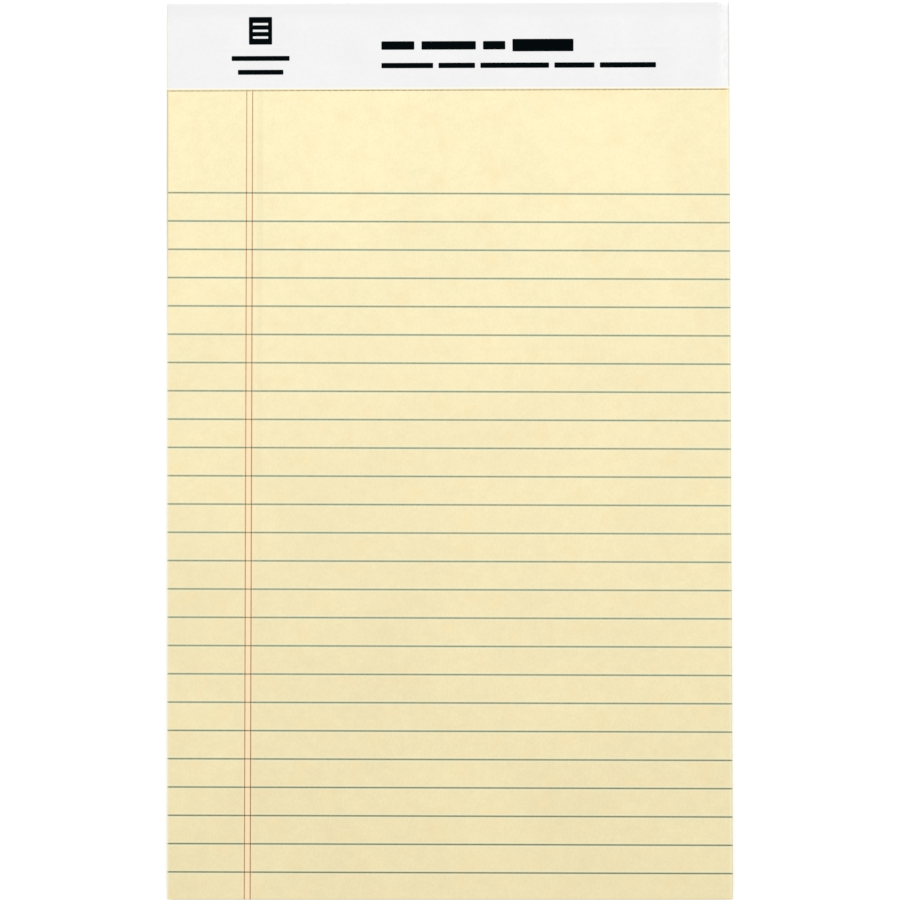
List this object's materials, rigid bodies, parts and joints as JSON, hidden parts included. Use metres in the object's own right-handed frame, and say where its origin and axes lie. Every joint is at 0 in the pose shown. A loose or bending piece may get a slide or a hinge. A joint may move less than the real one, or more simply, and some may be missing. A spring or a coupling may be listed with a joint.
{
  "type": "legal pad",
  "caption": "Junior-size yellow ruled writing pad, stapled at the head under a folded white binding strip, with a chipboard back.",
  "frame": {"origin": "middle of the pad's footprint on the table, at the underside of the chipboard", "axes": "+Z out of the top sheet, +Y towards the bound head, +X to the right as the pad is read"},
  "size_m": [0.127, 0.2016, 0.0059],
  "materials": {
    "canary_paper": "matte uncoated bond",
    "chipboard": "matte, flecked",
    "strip_paper": "smooth, slight sheen",
    "staple_wire": "drawn wire",
    "rule_ink": "printed grey-green ink",
    "margin_ink": "printed red-brown ink",
    "header_ink": "printed dark teal ink"
  },
  "bodies": {
    "root": {"ruled_sheets": "canary_paper", "backing_board": "chipboard", "binding_strip": "strip_paper", "staple_left": "staple_wire", "staple_right": "staple_wire", "rule_lines": "rule_ink", "margin_lines": "margin_ink", "header_print": "header_ink"}
  },
  "joints": []
}
